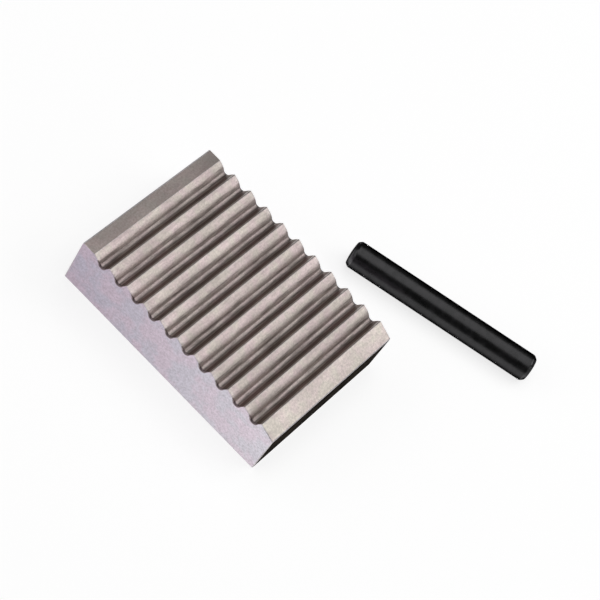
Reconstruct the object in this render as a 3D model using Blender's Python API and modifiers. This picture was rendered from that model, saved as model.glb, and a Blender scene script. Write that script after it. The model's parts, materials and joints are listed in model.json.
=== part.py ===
"""Serrated heel jaw for a large pipe wrench, with its loose retaining pin.

Metres, +Z up.  X runs along the jaw's length, Y along its teeth.  The origin is
the centre of the jaw's flat underside, which lies on the surface at Z = 0.  The
teeth stand up along +Z and lean their long flanks towards +X.
"""
import math

import bmesh
import bpy

MM = 0.001

# Jaw: one block of tool steel
PITCH = 4.76 * MM                 # 3/16 inch tooth spacing
GROOVE_COUNT = 10
JAW_LENGTH = 54.3 * MM
JAW_WIDTH = 39.2 * MM
JAW_HEIGHT = 13.1 * MM            # seat to tooth crests
FIRST_CREST = 7.5 * MM            # left end to the first crest
TOP_FLAT = 3.2 * MM               # flat land left at the left end
TOP_FLAT_DROP = 0.15 * MM         # it lies this far below the crests

# Tooth form, as distances from a crest towards +X and down
RELIEF_RUN = 0.36 * PITCH         # crest to the foot of the shallow relief
RELIEF_DROP = 0.16 * PITCH
ROOT_RUN = 0.64 * PITCH           # crest to where the two flanks would meet
ROOT_DROP = 0.44 * PITCH
ROOT_RADIUS = 0.7 * MM
ROOT_STEPS = 6
CREST_FLAT = 0.12 * MM            # a crest is never a knife edge

# Jaw edges
SIDE_BEVEL = 0.25 * MM

# Pin: 1/4 inch drill rod
PIN_DIAMETER = 6.35 * MM
PIN_LENGTH = 46.0 * MM
PIN_CHAMFER_RUN = 0.9 * MM         # along the pin
PIN_CHAMFER_DROP = 0.6 * MM
PIN_SIDES = 64
PIN_X = 29.1 * MM
PIN_Y = 41.2 * MM
PIN_TURN = math.radians(15.1)     # from +X towards +Y

# Surfaces: colour, roughness, metallic
JAW_STEEL = ((0.55, 0.51, 0.50), 0.38, 1.0)
PIN_OXIDE = ((0.035, 0.034, 0.036), 0.42, 0.6)


def clear_scene():
    for item in list(bpy.data.objects):
        bpy.data.objects.remove(item, do_unlink=True)


def new_collection(name):
    found = bpy.data.collections.get(name)
    if found is None:
        found = bpy.data.collections.new(name)
        bpy.context.scene.collection.children.link(found)
    return found


def finish_material(name, look):
    colour, roughness, metallic = look
    material = bpy.data.materials.new(name)
    material.use_nodes = True
    shader = material.node_tree.nodes["Principled BSDF"]
    shader.inputs["Base Color"].default_value = (*colour, 1.0)
    shader.inputs["Roughness"].default_value = roughness
    shader.inputs["Metallic"].default_value = metallic
    return material


def fillet(before, corner, after, radius, steps):
    """Points of an arc of the given radius that rounds the corner."""
    def unit(start, end):
        run = end[0] - start[0]
        rise = end[1] - start[1]
        size = math.hypot(run, rise)
        return run / size, rise / size

    back = unit(corner, before)
    ahead = unit(corner, after)
    opening = math.acos(back[0] * ahead[0] + back[1] * ahead[1])
    bisector = unit((0.0, 0.0), (back[0] + ahead[0], back[1] + ahead[1]))
    reach = radius / math.sin(opening / 2)
    centre = (corner[0] + bisector[0] * reach, corner[1] + bisector[1] * reach)
    tangent = radius / math.tan(opening / 2)
    start = (corner[0] + back[0] * tangent, corner[1] + back[1] * tangent)
    end = (corner[0] + ahead[0] * tangent, corner[1] + ahead[1] * tangent)
    first = math.atan2(start[1] - centre[1], start[0] - centre[0])
    sweep = math.atan2(end[1] - centre[1], end[0] - centre[0]) - first
    sweep = math.remainder(sweep, 2 * math.pi)
    points = []
    for step in range(steps + 1):
        angle = first + sweep * step / steps
        points.append((centre[0] + radius * math.cos(angle),
                       centre[1] + radius * math.sin(angle)))
    return points


def groove_points(crest_x, top):
    """Outline of one groove, from the relief before it to the crest at crest_x."""
    before = crest_x - PITCH
    relief = (before + RELIEF_RUN, top - RELIEF_DROP)
    root = (before + ROOT_RUN, top - ROOT_DROP)
    crest = (crest_x - CREST_FLAT / 2, top)
    return [relief, *fillet(relief, root, crest, ROOT_RADIUS, ROOT_STEPS), crest,
            (crest_x + CREST_FLAT / 2, top)]


def jaw_outline():
    """Side view of the jaw: (x, z) points, starting at the lower left corner."""
    left = -JAW_LENGTH / 2
    right = JAW_LENGTH / 2
    flat_top = JAW_HEIGHT - TOP_FLAT_DROP
    points = [(left, 0.0), (left, flat_top), (left + TOP_FLAT, flat_top)]
    for tooth in range(GROOVE_COUNT):
        points += groove_points(left + FIRST_CREST + tooth * PITCH, JAW_HEIGHT)
    last_crest = left + FIRST_CREST + (GROOVE_COUNT - 1) * PITCH
    end_drop = (right - last_crest) * RELIEF_DROP / RELIEF_RUN
    points += [(right, JAW_HEIGHT - end_drop), (right, 0.0)]
    return points


def build_jaw(home):
    outline = bpy.data.curves.new("heel_jaw_outline", "CURVE")
    outline.dimensions = "2D"
    outline.fill_mode = "BOTH"
    outline.extrude = JAW_WIDTH / 2
    points = jaw_outline()
    spline = outline.splines.new("POLY")
    spline.points.add(len(points) - 1)
    for target, (x, z) in zip(spline.points, points):
        target.co = (x, z, 0.0, 1.0)
    spline.use_cyclic_u = True

    flat = bpy.data.objects.new("heel_jaw_flat", outline)
    flat.rotation_euler = (math.pi / 2, 0.0, 0.0)
    home.objects.link(flat)
    bpy.context.view_layer.update()
    graph = bpy.context.evaluated_depsgraph_get()
    mesh = bpy.data.meshes.new_from_object(flat.evaluated_get(graph))
    mesh.name = "heel_jaw"
    jaw = bpy.data.objects.new("heel_jaw", mesh)
    jaw.matrix_world = flat.matrix_world
    home.objects.link(jaw)
    bpy.data.objects.remove(flat, do_unlink=True)

    body = bmesh.new()
    body.from_mesh(mesh)
    bmesh.ops.remove_doubles(body, verts=body.verts, dist=0.01 * MM)
    bmesh.ops.recalc_face_normals(body, faces=body.faces)
    body.to_mesh(mesh)
    body.free()

    bevel = jaw.modifiers.new("edge_break", "BEVEL")
    bevel.width = SIDE_BEVEL
    bevel.segments = 1
    bevel.limit_method = "ANGLE"
    bevel.angle_limit = math.radians(80)
    mesh.materials.clear()
    mesh.materials.append(finish_material("jaw_steel", JAW_STEEL))
    return jaw


def build_pin(home):
    """The pin is turned about its own X axis and lies on the surface."""
    radius = PIN_DIAMETER / 2
    half = PIN_LENGTH / 2
    shoulder = half - PIN_CHAMFER_RUN
    face_radius = radius - PIN_CHAMFER_DROP
    profile = [(0.0, half), (face_radius, half), (radius, shoulder),
               (radius, -shoulder), (face_radius, -half), (0.0, -half)]
    mesh = bpy.data.meshes.new("retaining_pin")
    edges = [(index, index + 1) for index in range(len(profile) - 1)]
    mesh.from_pydata([(x, 0.0, z) for x, z in profile], edges, [])
    pin = bpy.data.objects.new("retaining_pin", mesh)
    home.objects.link(pin)

    turn = pin.modifiers.new("turned", "SCREW")
    turn.axis = "Z"
    turn.angle = 2 * math.pi
    turn.steps = PIN_SIDES
    turn.render_steps = PIN_SIDES
    turn.use_merge_vertices = True
    turn.merge_threshold = 0.00001
    turn.use_smooth_shade = True
    pin.location = (PIN_X, PIN_Y, radius)
    pin.rotation_euler = (0.0, math.pi / 2, PIN_TURN)
    mesh.materials.append(finish_material("pin_oxide", PIN_OXIDE))
    return pin


clear_scene()
heel_jaw_set = new_collection("heel_jaw_set")
build_jaw(heel_jaw_set)
build_pin(heel_jaw_set)
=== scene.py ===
"""The looks of a pipe wrench's heel jaw and its retaining pin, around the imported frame.

Metres, +Z up.  X runs along the jaw, Y along its teeth, and the seat lies on Z = 0.
"""
import json
import math

import bmesh
import bpy
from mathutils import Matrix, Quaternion, Vector


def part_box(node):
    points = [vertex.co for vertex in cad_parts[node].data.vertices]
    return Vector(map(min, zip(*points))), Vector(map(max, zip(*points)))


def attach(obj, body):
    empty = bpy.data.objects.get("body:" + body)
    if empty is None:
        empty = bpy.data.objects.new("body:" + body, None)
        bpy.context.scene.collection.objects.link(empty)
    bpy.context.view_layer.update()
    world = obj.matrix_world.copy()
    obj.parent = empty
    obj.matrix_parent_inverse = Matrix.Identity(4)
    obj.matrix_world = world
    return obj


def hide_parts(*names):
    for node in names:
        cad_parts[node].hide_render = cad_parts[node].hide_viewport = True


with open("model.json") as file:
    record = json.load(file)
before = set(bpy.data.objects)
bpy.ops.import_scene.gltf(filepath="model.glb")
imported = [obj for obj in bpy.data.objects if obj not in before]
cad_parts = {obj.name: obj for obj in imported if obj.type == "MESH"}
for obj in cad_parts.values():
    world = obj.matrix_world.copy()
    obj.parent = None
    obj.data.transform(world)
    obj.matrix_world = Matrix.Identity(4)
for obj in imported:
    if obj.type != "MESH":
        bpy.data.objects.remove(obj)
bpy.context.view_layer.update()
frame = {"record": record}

MM = 0.001

# ---------------------------------------------------------------- sizes

JAW_LOW, JAW_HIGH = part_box("heel_jaw")
LEFT, RIGHT = JAW_LOW.x, JAW_HIGH.x
NEAR, FAR = JAW_LOW.y, JAW_HIGH.y
TOP = JAW_HIGH.z

PITCH = 4.76 * MM
GROOVE_COUNT = 10
FIRST_CREST = LEFT + 7.5 * MM
TOP_FLAT = 3.2 * MM
TOP_FLAT_DROP = 0.15 * MM

# One tooth, with its lengths in pitches: a place is +X from the crest, and down
FLANK_FOOT = (0.51, 0.295)           # where the long flank's curve ends
ROOT = (0.66, 0.445)                 # where the two flanks would meet
FLANK_START = math.radians(21)       # slope of the long flank at the crest
FLANK_END = math.radians(46.5)       # and at its foot
FLANK_PULL = 0.20                    # length of the flank curve's two handles
STEEP_FROM = 0.36                    # the finish of the flank's foot starts here
LAND_SLOPE = math.radians(24)        # the last land runs straight to the heel end
LAND_SAMPLE = 0.1                    # how far down a land its direction is read

ROOT_RADIUS = 0.84 * MM
ROOT_FILL = 0.4 * ROOT_RADIUS        # the rounded root is about this much shallower
CREST_RADIUS = 0.29 * MM
STRIP_RADIUS = 0.20 * MM
CORNER_RADIUS = 0.30 * MM

# Edges of the side faces are broken a little on the lands and more in the grooves
LAND_BREAK = 0.05 * MM
GROOVE_BREAK = 0.42 * MM
BREAK_FROM = 0.25                    # share of the groove's depth where it starts to widen
TOE_BREAK = 0.28 * MM
CORNER_BREAK = 0.196 * MM            # at the heel end and the seat

# How finely the round stretches are cut
FLANK_STEPS = 16
ROOT_STEPS = 12
RISE_STEPS = 7
CREST_STEPS = 6
STRIP_STEPS = 3
CORNER_STEPS = 5
BREAK_STEPS = 6
INNER_RINGS = 10
SHARP_ANGLE = math.radians(34)

# ---------------------------------------------------------------- outline of the jaw


class Outline:
    """Side view of the jaw, clockwise seen from -Y."""

    def __init__(self):
        self.points = []             # (x, z)
        self.surfaces = []           # surface of the stretch that starts at the point
        self.breaks = []             # radius of the side face's broken edge at the point

    def add(self, x, z, surface, edge_break):
        self.points.append((x, z))
        self.surfaces.append(surface)
        self.breaks.append(edge_break)

    def inward(self):
        """Unit vectors into the block at each point."""
        vectors = []
        count = len(self.points)
        for index in range(count):
            run, rise = direction(self.points[index - 1], self.points[(index + 1) % count])
            vectors.append((rise, -run))
        return vectors


def direction(start, end):
    """Unit vector from start to end."""
    size = math.hypot(end[0] - start[0], end[1] - start[1])
    return (end[0] - start[0]) / size, (end[1] - start[1]) / size


def fillet(before, corner, after, radius, steps):
    """Points of an arc of the given radius that rounds the corner."""
    back = direction(corner, before)
    ahead = direction(corner, after)
    opening = math.acos(back[0] * ahead[0] + back[1] * ahead[1])
    middle = direction((0.0, 0.0), (back[0] + ahead[0], back[1] + ahead[1]))
    reach = radius / math.sin(opening / 2)
    centre = (corner[0] + middle[0] * reach, corner[1] + middle[1] * reach)
    tangent = radius / math.tan(opening / 2)
    start = (corner[0] + back[0] * tangent, corner[1] + back[1] * tangent)
    end = (corner[0] + ahead[0] * tangent, corner[1] + ahead[1] * tangent)
    first = math.atan2(start[1] - centre[1], start[0] - centre[0])
    last = math.atan2(end[1] - centre[1], end[0] - centre[0])
    sweep = math.remainder(last - first, 2 * math.pi)
    angles = [first + sweep * step / steps for step in range(steps + 1)]
    return [(centre[0] + radius * math.cos(a), centre[1] + radius * math.sin(a)) for a in angles]


def flank_point(share):
    """(run, rise) in pitches from the crest, for a share of the long flank's curve."""
    crest = (0.0, 0.0)
    foot = (FLANK_FOOT[0], -FLANK_FOOT[1])
    upper = (FLANK_PULL * math.cos(FLANK_START), -FLANK_PULL * math.sin(FLANK_START))
    lower = (foot[0] - FLANK_PULL * math.cos(FLANK_END), foot[1] + FLANK_PULL * math.sin(FLANK_END))
    rest = 1 - share
    weights = (rest ** 3, 3 * share * rest ** 2, 3 * share ** 2 * rest, share ** 3)
    handles = (crest, upper, lower, foot)
    run = sum(weight * handle[0] for weight, handle in zip(weights, handles))
    rise = sum(weight * handle[1] for weight, handle in zip(weights, handles))
    return run, rise


def in_tooth(crest_x, run, rise):
    """(x, z) of a place given in pitches from the crest at crest_x."""
    return crest_x + run * PITCH, TOP + rise * PITCH


def down_land(x, z):
    """A point a little way down the land that starts at (x, z)."""
    run = LAND_SAMPLE * PITCH
    return x + run, z - run * math.tan(FLANK_START)


def smooth(share):
    """An even start and finish between 0 and 1."""
    share = min(max(share, 0.0), 1.0)
    return share * share * (3 - 2 * share)


def groove_break(depth):
    """Edge break beside a point of the groove, by its share of the groove's depth."""
    growth = smooth((depth - BREAK_FROM) / (1 - BREAK_FROM))
    return LAND_BREAK + (GROOVE_BREAK - LAND_BREAK) * growth


def add_groove(outline, crest_x):
    """From the land before a groove down its long flank, round its root and up to crest_x."""
    before = crest_x - PITCH
    flat_end = LEFT + TOP_FLAT + STRIP_RADIUS
    deepest = ROOT[1] * PITCH - ROOT_FILL

    def place(x, z, surface):
        outline.add(x, z, surface, groove_break((TOP - z) / deepest))

    foot = in_tooth(before, *flank_point(1.0))
    root = in_tooth(before, ROOT[0], -ROOT[1])
    crest = (crest_x, TOP)
    valley = fillet(foot, root, crest, ROOT_RADIUS, ROOT_STEPS)
    ridge = fillet(root, crest, down_land(*crest), CREST_RADIUS, CREST_STEPS)
    for step in range(2, FLANK_STEPS + 1):
        run, rise = flank_point(step / FLANK_STEPS)
        x, z = in_tooth(before, run, rise)
        if flat_end < x < valley[0][0]:
            place(x, z, "tooth_relief" if run < STEEP_FROM else "tooth_foot")
    for x, z in valley:
        place(x, z, "tooth_root")
    outline.surfaces[-1] = "tooth_rise"
    low, high = valley[-1], ridge[0]
    for step in range(1, RISE_STEPS):
        share = step / RISE_STEPS
        surface = "tooth_rise" if step < RISE_STEPS - 1 else "tooth_crest"
        place(low[0] + (high[0] - low[0]) * share, low[1] + (high[1] - low[1]) * share, surface)
    for x, z in ridge:
        place(x, z, "tooth_crest")
    outline.surfaces[-1] = "tooth_relief"


def jaw_outline():
    """The jaw's side view, from the seat's left corner up, over the teeth and down."""
    outline = Outline()
    flat_z = TOP - TOP_FLAT_DROP
    flat_edge = (LEFT + TOP_FLAT, flat_z)
    last_crest = FIRST_CREST + (GROOVE_COUNT - 1) * PITCH
    toe_foot = (LEFT, 0)
    toe_top = (LEFT, flat_z)
    heel_top = (RIGHT, TOP - (RIGHT - last_crest) * math.tan(LAND_SLOPE))
    heel_foot = (RIGHT, 0)

    def add_corner(rounded, edge_break, next_surface):
        for x, z in rounded:
            outline.add(x, z, "edge", edge_break)
        outline.surfaces[-1] = next_surface

    def block_corner(before, at, after):
        return fillet(before, at, after, CORNER_RADIUS, CORNER_STEPS)

    add_corner(block_corner(heel_foot, toe_foot, toe_top), CORNER_BREAK, "toe_end")
    outline.breaks[-1] = TOE_BREAK
    add_corner(block_corner(toe_foot, toe_top, flat_edge), LAND_BREAK, "top_strip")
    strip_end = fillet(toe_top, flat_edge, down_land(*flat_edge), STRIP_RADIUS, STRIP_STEPS)
    add_corner(strip_end, LAND_BREAK, "tooth_relief")
    for tooth in range(GROOVE_COUNT):
        add_groove(outline, FIRST_CREST + tooth * PITCH)
    outline.surfaces[-1] = "last_land"
    add_corner(block_corner((last_crest, TOP), heel_top, heel_foot), CORNER_BREAK, "heel_end")
    add_corner(block_corner(heel_top, heel_foot, toe_foot), CORNER_BREAK, "seat")
    return outline


# ---------------------------------------------------------------- jaw mesh

# Dark tints for the broken edge beside each groove surface, painted shade at the groove ends; the others
# have "edge"
SHADED_RIMS = {"tooth_foot": "foot_rim", "tooth_root": "root_rim", "tooth_rise": "groove_rim"}


def jaw_rings(outline):
    """Cross-sections from -Y to +Y; where the edge is broken they shrink along an arc."""
    inward = outline.inward()
    rings = []
    for step in range(BREAK_STEPS, -1, -1):
        angle = math.pi / 2 * step / BREAK_STEPS
        ring = []
        for (x, z), (in_x, in_z), radius in zip(outline.points, inward, outline.breaks):
            cut = radius * (1 - math.cos(angle))
            ring.append((x + in_x * cut, NEAR + radius * (1 - math.sin(angle)), z + in_z * cut))
        rings.append(ring)
    middle = (NEAR + FAR) / 2
    far_rings = [[(x, 2 * middle - y, z) for x, y, z in ring] for ring in reversed(rings)]
    first = NEAR + 2 * GROOVE_BREAK      # clear of the broken edges
    for step in range(INNER_RINGS):
        y = first + (FAR + NEAR - 2 * first) * step / (INNER_RINGS - 1)
        rings.append([(x, y, z) for x, z in outline.points])
    return rings + far_rings


def build_jaw(materials):
    """The block: a strip of faces for each stretch of the outline, and the two flat sides."""
    outline = jaw_outline()
    body = bmesh.new()
    rings = [[body.verts.new(place) for place in ring] for ring in jaw_rings(outline)]
    names = list(materials)
    count = len(outline.points)
    for step, (near_ring, far_ring) in enumerate(zip(rings, rings[1:])):
        on_edge = step < BREAK_STEPS or step >= len(rings) - 1 - BREAK_STEPS
        for index in range(count):
            after = (index + 1) % count
            corners = (near_ring[index], near_ring[after], far_ring[after], far_ring[index])
            face = body.faces.new(corners)
            surface = outline.surfaces[index]
            if on_edge:
                # groove rims take their painted-shade tints
                surface = SHADED_RIMS.get(surface, "edge")
            face.material_index = names.index(surface)
    for ring in (rings[0], rings[-1]):
        side = body.faces.new(ring)
        side.material_index = names.index("side_face")
    bmesh.ops.recalc_face_normals(body, faces=body.faces)
    mesh = bpy.data.meshes.new("jaw_block")
    body.to_mesh(mesh)
    body.free()
    for material in materials.values():
        mesh.materials.append(material)
    mesh.shade_smooth()
    mesh.set_sharp_from_angle(angle=SHARP_ANGLE)
    jaw = bpy.data.objects.new("jaw_block", mesh)
    bpy.context.scene.collection.objects.link(jaw)
    weighted = jaw.modifiers.new("flat_faces_stay_flat", "WEIGHTED_NORMAL")
    weighted.keep_sharp = True
    weighted.weight = 100
    return jaw


# ---------------------------------------------------------------- pin mesh

PIN_ENDS = [Vector(mount["pos_m"]) for mount in frame["record"]["mounts"]
            if mount["name"].startswith("pin_end_")]
PIN_RADIUS = PIN_ENDS[0].z
PIN_CROWN = 0.20 * MM                # the end faces are slightly domed
PIN_CHAMFER_RUN = 0.75 * MM
PIN_CHAMFER_DROP = 0.6 * MM
PIN_WEAR_AND_GLINT_RUN = 0.225 * MM            # the chamfer's wear and painted glint run this far onto the barrel
PIN_RIM_RADIUS = 0.35 * MM
PIN_NECK_RADIUS = 0.8 * MM
PIN_SIDES = 128
PIN_ROUND_STEPS = 5
PIN_CROWN_STEPS = 5
PIN_BARREL_STEPS = 6


def turned_ring(body, x, radius):
    """Vertices round the X axis; one vertex where the radius is nothing."""
    if radius == 0.0:
        return [body.verts.new((x, 0, 0))]
    angles = [2 * math.pi * k / PIN_SIDES for k in range(PIN_SIDES)]
    return [body.verts.new((x, radius * math.cos(a), radius * math.sin(a))) for a in angles]


def join_rings(body, one, two, material_index):
    """Faces between two rings; they are triangles where a ring is one vertex."""
    for k in range(PIN_SIDES):
        after = (k + 1) % PIN_SIDES
        if len(one) == 1:
            face = body.faces.new((one[0], two[k], two[after]))
        elif len(two) == 1:
            face = body.faces.new((one[after], one[k], two[0]))
        else:
            face = body.faces.new((one[k], two[k], two[after], one[after]))
        face.material_index = material_index


def build_pin(oxide, paler_steel):
    """A turned bar: its profile is swept round the line between its two end faces."""
    start, end = PIN_ENDS
    half = (end - start).length / 2
    rim = (half - PIN_CROWN, PIN_RADIUS - PIN_CHAMFER_DROP)
    neck = (rim[0] - PIN_CHAMFER_RUN, PIN_RADIUS)
    shoulder = []
    for step in range(PIN_CROWN_STEPS):
        share = step / PIN_CROWN_STEPS
        shoulder.append((half - PIN_CROWN * share ** 2, rim[1] * share))
    shoulder += fillet(shoulder[-1], rim, neck, PIN_RIM_RADIUS, PIN_ROUND_STEPS)
    shoulder += fillet(rim, neck, (0, PIN_RADIUS), PIN_NECK_RADIUS, PIN_ROUND_STEPS)
    barrel = [(half * k / PIN_BARREL_STEPS, PIN_RADIUS)
              for k in range(PIN_BARREL_STEPS - 1, -PIN_BARREL_STEPS, -1)]
    profile = shoulder + barrel + [(-x, radius) for x, radius in reversed(shoulder)]

    body = bmesh.new()
    rings = [turned_ring(body, x, radius) for x, radius in profile]
    for index in range(len(rings) - 1):
        middle = abs(profile[index][0] + profile[index + 1][0]) / 2
        # the chamfer takes the material with wear and a painted glint
        on_chamfer = neck[0] - PIN_WEAR_AND_GLINT_RUN < middle < rim[0]
        join_rings(body, rings[index], rings[index + 1], 1 if on_chamfer else 0)
    bmesh.ops.recalc_face_normals(body, faces=body.faces)
    mesh = bpy.data.meshes.new("black_pin")
    body.to_mesh(mesh)
    body.free()
    mesh.materials.append(oxide)
    mesh.materials.append(paler_steel)
    mesh.shade_smooth()
    mesh.set_sharp_from_angle(angle=SHARP_ANGLE)
    pin = bpy.data.objects.new("black_pin", mesh)
    bpy.context.scene.collection.objects.link(pin)
    pin.rotation_mode = "QUATERNION"
    pin.rotation_quaternion = Vector((1, 0, 0)).rotation_difference(end - start)
    pin.location = (start + end) / 2
    weighted = pin.modifiers.new("flat_faces_stay_flat", "WEIGHTED_NORMAL")
    weighted.keep_sharp = True
    return pin


# ---------------------------------------------------------------- materials


class Shader:
    """A Principled material with helpers that add and link procedural nodes."""

    def __init__(self, name, roughness, metallic):
        self.material = bpy.data.materials.new(name)
        self.material.use_nodes = True
        self.nodes = self.material.node_tree.nodes
        self.links = self.material.node_tree.links
        self.principled = self.nodes["Principled BSDF"]
        self.principled.inputs["Roughness"].default_value = roughness
        self.principled.inputs["Metallic"].default_value = metallic
        self.place = self.nodes.new("ShaderNodeTexCoord").outputs["Object"]

    def stretched(self, scale):
        """The place on the piece, scaled along each axis."""
        mapping = self.nodes.new("ShaderNodeMapping")
        mapping.inputs["Scale"].default_value = scale
        self.links.new(self.place, mapping.inputs["Vector"])
        return mapping.outputs["Vector"]

    def noise(self, scale, size, detail=2.0, roughness=0.5):
        """Noise whose grain is size metres times 1 / scale along each axis."""
        node = self.nodes.new("ShaderNodeTexNoise")
        node.inputs["Scale"].default_value = 1 / size
        node.inputs["Detail"].default_value = detail
        node.inputs["Roughness"].default_value = roughness
        self.links.new(self.stretched(scale), node.inputs["Vector"])
        return node.outputs["Fac"]

    def spread(self, value, low, high, to_low, to_high):
        """Map low .. high onto to_low .. to_high, and hold it there beyond them."""
        node = self.nodes.new("ShaderNodeMapRange")
        node.inputs["From Min"].default_value = low
        node.inputs["From Max"].default_value = high
        node.inputs["To Min"].default_value = to_low
        node.inputs["To Max"].default_value = to_high
        self.links.new(value, node.inputs["Value"])
        return node.outputs["Result"]

    def mix(self, share, one, two):
        """Blend two colours, each a tuple or an output; share is an output."""
        node = self.nodes.new("ShaderNodeMix")
        node.data_type = "RGBA"
        self.links.new(share, node.inputs["Factor"])
        for value, socket in ((one, node.inputs[6]), (two, node.inputs[7])):
            if isinstance(value, tuple):
                socket.default_value = (*value, 1.0)
            else:
                self.links.new(value, socket)
        return node.outputs[2]

    def along(self, axis, low, high):
        """0 at low to 1 at high along one axis of the piece."""
        split = self.nodes.new("ShaderNodeSeparateXYZ")
        self.links.new(self.place, split.inputs["Vector"])
        return self.spread(split.outputs[axis], low, high, 0.0, 1.0)

    def colour(self, value):
        self.links.new(value, self.principled.inputs["Base Color"])

    def rough(self, value):
        self.links.new(value, self.principled.inputs["Roughness"])

    def bump(self, height, depth):
        """Add relief depth metres deep to what is there already."""
        node = self.nodes.new("ShaderNodeBump")
        node.inputs["Distance"].default_value = depth
        self.links.new(height, node.inputs["Height"])
        previous = self.principled.inputs["Normal"]
        if previous.is_linked:
            self.links.new(previous.links[0].from_socket, node.inputs["Normal"])
        self.links.new(node.outputs["Normal"], previous)


# Noise scales along the three axes; a small one draws the grain out along its axis
ALONG_TEETH = (1.0, 0.10, 1.0)
ALONG_JAW = (0.12, 1.0, 1.0)
ACROSS_PIN = (1.0, 0.02, 0.02)
LONG_CLOUDS = (1.0, 0.35, 1.0)
EVERY_WAY = (1.0, 1.0, 1.0)

LINE_SIZE = 0.20 * MM
GRAIN_SIZE = 0.42 * MM
STREAK_SIZE = 0.50 * MM
TINT_SIZE = 3.2 * MM
TEMPER_SIZE = 3.6 * MM
CLOUD_SIZE = 4.0 * MM
PALE_SIDE_RUN = 1.2 * MM
PAINTED_LIGHT_FROM = LEFT + 2 * MM            # from here the side's tint is painted paler towards the heel, as painted light
PAINTED_LIGHT_TO = RIGHT - 4 * MM

LINE_DARK = (0.10, 0.09, 0.085)
GRAIN_DARK = (0.12, 0.10, 0.10)
STAIN = (0.07, 0.050, 0.045)
PALE_SIDE_STEEL = (0.90, 0.84, 0.81)


def steel_finish(look, tint, roughness, lines, stain):
    """Grinding lines along one axis, fine grain and dark stain over the tint."""
    fine = look.noise(lines, LINE_SIZE, 3.0, 0.65)
    grain = look.noise(EVERY_WAY, GRAIN_SIZE, 3.0, 0.75)
    lined = look.mix(look.spread(fine, 0.30, 0.70, 0.0, 0.14), tint, LINE_DARK)
    grainy = look.mix(look.spread(grain, 0.37, 0.68, 0.0, 0.31), lined, GRAIN_DARK)
    streaks = look.noise(tuple(0.8 * scale for scale in lines), STREAK_SIZE, 2.0, 0.6)
    stained = look.mix(look.spread(streaks, 0.46, 0.66, 0.0, stain), grainy, STAIN)
    look.colour(stained)
    look.rough(look.spread(grain, 0.3, 0.7, roughness - 0.05, roughness + 0.06))
    look.bump(fine, 0.0025 * MM)
    look.bump(grain, 0.004 * MM)


def ground_steel(name, colour, other, roughness, lines, stain=0.0, paler_steel=False):
    """Bare steel with two soft tints in patches and soft darker clouds."""
    look = Shader(name, roughness, 1.0)
    patches = look.noise(EVERY_WAY, TINT_SIZE)
    clouds = look.noise(LONG_CLOUDS, CLOUD_SIZE)
    dark = tuple(0.3 * channel for channel in colour)
    tint = look.mix(look.spread(patches, 0.40, 0.60, 0.0, 1.0), colour, other)
    tint = look.mix(look.spread(clouds, 0.36, 0.64, 0.0, 0.24), tint, dark)
    # lighter steel near the two side faces
    if paler_steel:
        tint = lighter_at_sides(look, tint)
    steel_finish(look, tint, roughness, lines, stain)
    return look.material


def lighter_at_sides(look, tint):
    """Lighter steel on the last millimetre or so before the two side faces."""
    for inside, side in ((NEAR + PALE_SIDE_RUN, NEAR), (FAR - PALE_SIDE_RUN, FAR)):
        share = look.along("Y", inside, side)
        tint = look.mix(look.spread(share, 0.0, 1.0, 0.0, 0.4), tint, PALE_SIDE_STEEL)
    return tint


def tempered_side(name):
    """A ground side, tempered lavender: pink and blue in places, and painted paler towards the heel as
    painted light.
    """
    look = Shader(name, 0.46, 1.0)
    patches = look.noise(EVERY_WAY, TEMPER_SIZE)
    toe_pink, toe_blue = (0.61, 0.505, 0.60), (0.55, 0.505, 0.605)
    # the heel's tints are paler: painted light
    heel_pink_painted_light, heel_blue_painted_light = (0.86, 0.76, 0.845), (0.81, 0.775, 0.845)
    toe = look.mix(look.spread(patches, 0.40, 0.60, 0.0, 1.0), toe_pink, toe_blue)
    heel = look.mix(look.spread(patches, 0.42, 0.60, 0.0, 1.0), heel_pink_painted_light, heel_blue_painted_light)
    # painted light: the tint pales from the toe's tints to the heel's along X
    tint = look.mix(look.along("X", PAINTED_LIGHT_FROM, PAINTED_LIGHT_TO), toe, heel)
    steel_finish(look, tint, 0.46, ALONG_JAW, 0.0)
    return look.material


def black_painted_shade(name):
    """Black for the heel end, as painted shade: dull, pitted, in blotches, with brown rust showing
    through.
    """
    black, shade_blotch, rust = (0.012, 0.011, 0.010), (0.030, 0.025, 0.021), (0.055, 0.045, 0.038)
    look = Shader(name, 0.6, 0.0)
    pits = look.noise(EVERY_WAY, 0.6 * MM, 4.0, 0.65)
    blotches = look.noise(EVERY_WAY, 3.5 * MM, 3.0, 0.6)
    # painted shade: near-black blotches for the heel end
    scale = look.mix(look.spread(blotches, 0.38, 0.62, 0.0, 1.0), black, shade_blotch)
    look.colour(look.mix(look.spread(pits, 0.45, 0.70, 0.0, 0.8), scale, rust))
    look.rough(look.spread(blotches, 0.35, 0.65, 0.45, 0.7))
    look.principled.inputs["Specular IOR Level"].default_value = 0.0
    look.bump(pits, 0.05 * MM)
    return look.material


def black_oxide(name, wear_and_glint):
    """Black oxide on turned rod: satin, with faint turning rings; where set, paler steel shows in spots,
    as wear and as a painted glint on the chamfer.
    """
    dark, pale, steel = (0.042, 0.042, 0.043), (0.056, 0.055, 0.057), (0.24, 0.24, 0.245)
    look = Shader(name, 0.30, 1.0)
    rings = look.noise(ACROSS_PIN, 0.18 * MM, 3.0, 0.6)
    cloud = look.noise(EVERY_WAY, 1.6 * MM, 3.0, 0.6)
    rubbed_and_glint = look.noise(EVERY_WAY, 2.2 * MM, 3.0, 0.6)
    oxide = look.mix(look.spread(cloud, 0.35, 0.65, 0.0, 1.0), dark, pale)
    look.colour(look.mix(look.spread(rubbed_and_glint, 0.40, 0.62, 0.0, wear_and_glint), oxide, steel))
    look.rough(look.spread(cloud, 0.3, 0.7, 0.25, 0.36))
    look.principled.inputs["Specular Tint"].default_value = (0.0, 0.0, 0.0, 1.0)
    look.bump(rings, 0.003 * MM)
    return look.material


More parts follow.
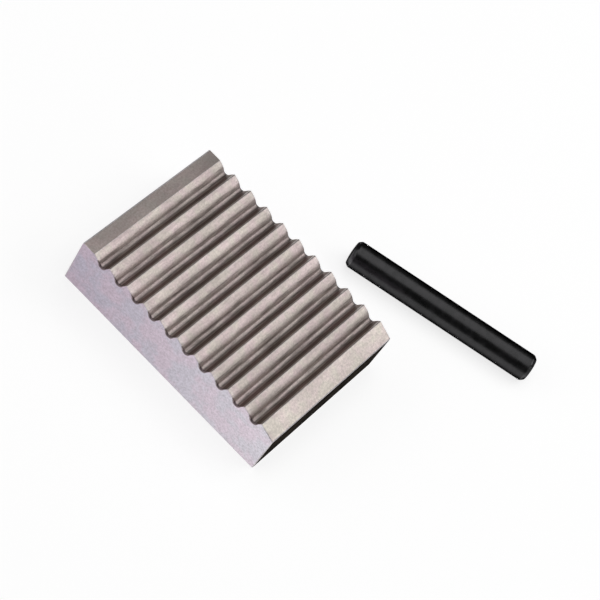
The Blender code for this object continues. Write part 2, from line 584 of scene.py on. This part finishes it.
def jaw_materials():
    """The jaw's finishes by surface; a steel has two tints, a roughness and a grinding direction. The
    tooth facets are one ground steel, tinted lighter or darker facet by facet as painted light and
    shade.
    """
    return {
        "edge": ground_steel("steel_broken_edge", (0.90, 0.85, 0.87), (0.87, 0.84, 0.86), 0.62,
                             ALONG_TEETH),
        "side_face": tempered_side("steel_ground_side"),
        "top_strip": ground_steel("steel_top_strip", (0.50, 0.42, 0.40), (0.47, 0.42, 0.39), 0.36,
                                  ALONG_TEETH),
        "tooth_relief": ground_steel("steel_tooth_relief", (0.72, 0.60, 0.59), (0.69, 0.625, 0.565),
                                     0.36, ALONG_TEETH, stain=0.12, paler_steel=True),
        "tooth_foot": ground_steel("steel_tooth_foot", (0.76, 0.63, 0.60), (0.72, 0.63, 0.58), 0.40,
                                   ALONG_TEETH, stain=0.5),
        "tooth_root": ground_steel("steel_tooth_root", (0.57, 0.475, 0.46), (0.54, 0.475, 0.44), 0.40,
                                   ALONG_TEETH, stain=0.5),
        # the rise's dark brown tint is painted shade in the grooves
        "tooth_rise": ground_steel("steel_tooth_rise", (0.215, 0.150, 0.135), (0.19, 0.150, 0.125), 0.42,
                                   ALONG_TEETH, stain=0.6),
        # the groove rims are tinted dark as painted shade at the groove ends, less dark beside the foot
        "foot_rim": ground_steel("steel_foot_rim", (0.36, 0.28, 0.29), (0.33, 0.28, 0.27), 0.42,
                                 ALONG_JAW, stain=0.3),
        "root_rim": ground_steel("steel_root_rim", (0.28, 0.215, 0.23), (0.255, 0.205, 0.21), 0.42,
                                 ALONG_JAW, stain=0.3),
        "groove_rim": ground_steel("steel_groove_rim", (0.20, 0.145, 0.155), (0.18, 0.14, 0.14), 0.42,
                                   ALONG_JAW, stain=0.3),
        "tooth_crest": ground_steel("steel_tooth_crest", (0.70, 0.63, 0.61), (0.66, 0.61, 0.58), 0.34,
                                    ALONG_TEETH),
        "last_land": ground_steel("steel_last_land", (0.81, 0.70, 0.67), (0.78, 0.72, 0.645), 0.38,
                                  ALONG_TEETH),
        # the heel end is painted black as painted shade
        "heel_end": black_painted_shade("black_shaded_heel"),
        "toe_end": ground_steel("steel_toe_end", (0.50, 0.46, 0.48), (0.46, 0.45, 0.47), 0.44,
                                ALONG_TEETH),
        "seat": ground_steel("steel_seat", (0.50, 0.46, 0.50), (0.47, 0.46, 0.50), 0.44,
                             ALONG_JAW),
    }


# ---------------------------------------------------------------- stage

# Azimuths and elevations are in degrees: azimuth 0 is +Y and 90 is +X
TARGET = Vector((0.00735, 0.0187, 0.0))
CAMERA_AZIMUTH = 169.50
CAMERA_ELEVATION = 51.88
CAMERA_ROLL = 36.99
CAMERA_DISTANCE = 0.4907
CAMERA_LENS = 140.45
CAMERA_SENSOR = 36

FLOOR_SIZE = 3.0
FLOOR_COLOUR = (0.40, 0.40, 0.40, 1)
FLOOR_GLOW = 0.775                   # the floor is a lit table, so shadows stay faint
ROOM_GLOW = 0.07
WHITE = (1, 1, 1, 1)

# name: azimuth, elevation, distance, width, height, radiance of its face
SOFT_BOXES = {
    "key_right": (42, 40.5, 0.8, 0.55, 0.40, 1.56),
    "rim_right": (82, 22, 0.8, 0.22, 0.20, 1.6),
    "overhead": (-15, 84, 0.8, 0.70, 1.02, 1.15),
    "fill_left": (-110, 35, 0.9, 0.5, 0.4, 0.6),
    "front_left": (212, 27, 0.9, 0.6, 0.35, 1.1),
}


def make_floor():
    """A pale table top that is lit a little from inside."""
    body = bmesh.new()
    bmesh.ops.create_grid(body, x_segments=2, y_segments=2, size=FLOOR_SIZE / 2)
    mesh = bpy.data.meshes.new("floor")
    body.to_mesh(mesh)
    body.free()
    floor = bpy.data.objects.new("floor", mesh)
    bpy.context.scene.collection.objects.link(floor)
    material = bpy.data.materials.new("pale_paper")
    material.use_nodes = True
    shader = material.node_tree.nodes["Principled BSDF"]
    shader.inputs["Base Color"].default_value = FLOOR_COLOUR
    shader.inputs["Roughness"].default_value = 0.9
    shader.inputs["Specular IOR Level"].default_value = 0.1
    shader.inputs["Emission Color"].default_value = WHITE
    shader.inputs["Emission Strength"].default_value = FLOOR_GLOW
    mesh.materials.append(material)


def aim(thing, azimuth, elevation, distance):
    """Put a lamp or the camera at its place in the sky, facing the target."""
    turn, tilt = math.radians(azimuth), math.radians(elevation)
    level = math.cos(tilt)
    towards = Vector((math.sin(turn) * level, math.cos(turn) * level, math.sin(tilt)))
    thing.location = TARGET + towards * distance
    thing.rotation_mode = "QUATERNION"
    thing.rotation_quaternion = (-towards).to_track_quat("-Z", "Y")
    bpy.context.scene.collection.objects.link(thing)


def soft_box(name, azimuth, elevation, distance, width, height, radiance):
    """A rectangular softbox that faces the object."""
    data = bpy.data.lights.new(name, "AREA")
    data.shape = "RECTANGLE"
    data.size = width
    data.size_y = height
    data.energy = radiance * math.pi * width * height
    aim(bpy.data.objects.new(name, data), azimuth, elevation, distance)


def make_room():
    """A dim, even studio room."""
    world = bpy.data.worlds.new("studio")
    bpy.context.scene.world = world
    world.use_nodes = True
    background = world.node_tree.nodes["Background"]
    background.inputs["Color"].default_value = WHITE
    background.inputs["Strength"].default_value = ROOM_GLOW


def make_camera():
    """Over the near side, rolled so that the jaw lies aslant in the picture."""
    data = bpy.data.cameras.new("camera")
    data.sensor_width = CAMERA_SENSOR
    data.lens = CAMERA_LENS
    camera = bpy.data.objects.new("camera", data)
    aim(camera, CAMERA_AZIMUTH, CAMERA_ELEVATION, CAMERA_DISTANCE)
    roll = Quaternion((0, 0, 1), math.radians(CAMERA_ROLL))
    camera.rotation_quaternion = camera.rotation_quaternion @ roll
    bpy.context.scene.camera = camera


# ---------------------------------------------------------------- assembly

bpy.context.scene.view_settings.view_transform = "Standard"

jaw = build_jaw(jaw_materials())
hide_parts("heel_jaw")
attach(jaw, "jaw")

# the chamfer's paler steel spots are wear and a painted glint
pin = build_pin(black_oxide("black_oxide_pin", 0.0), black_oxide("worn_and_glint_pin_chamfer", 0.4))
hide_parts("retaining_pin")
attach(pin, "pin")

make_floor()
make_room()
for name, numbers in SOFT_BOXES.items():
    soft_box(name, *numbers)
make_camera()
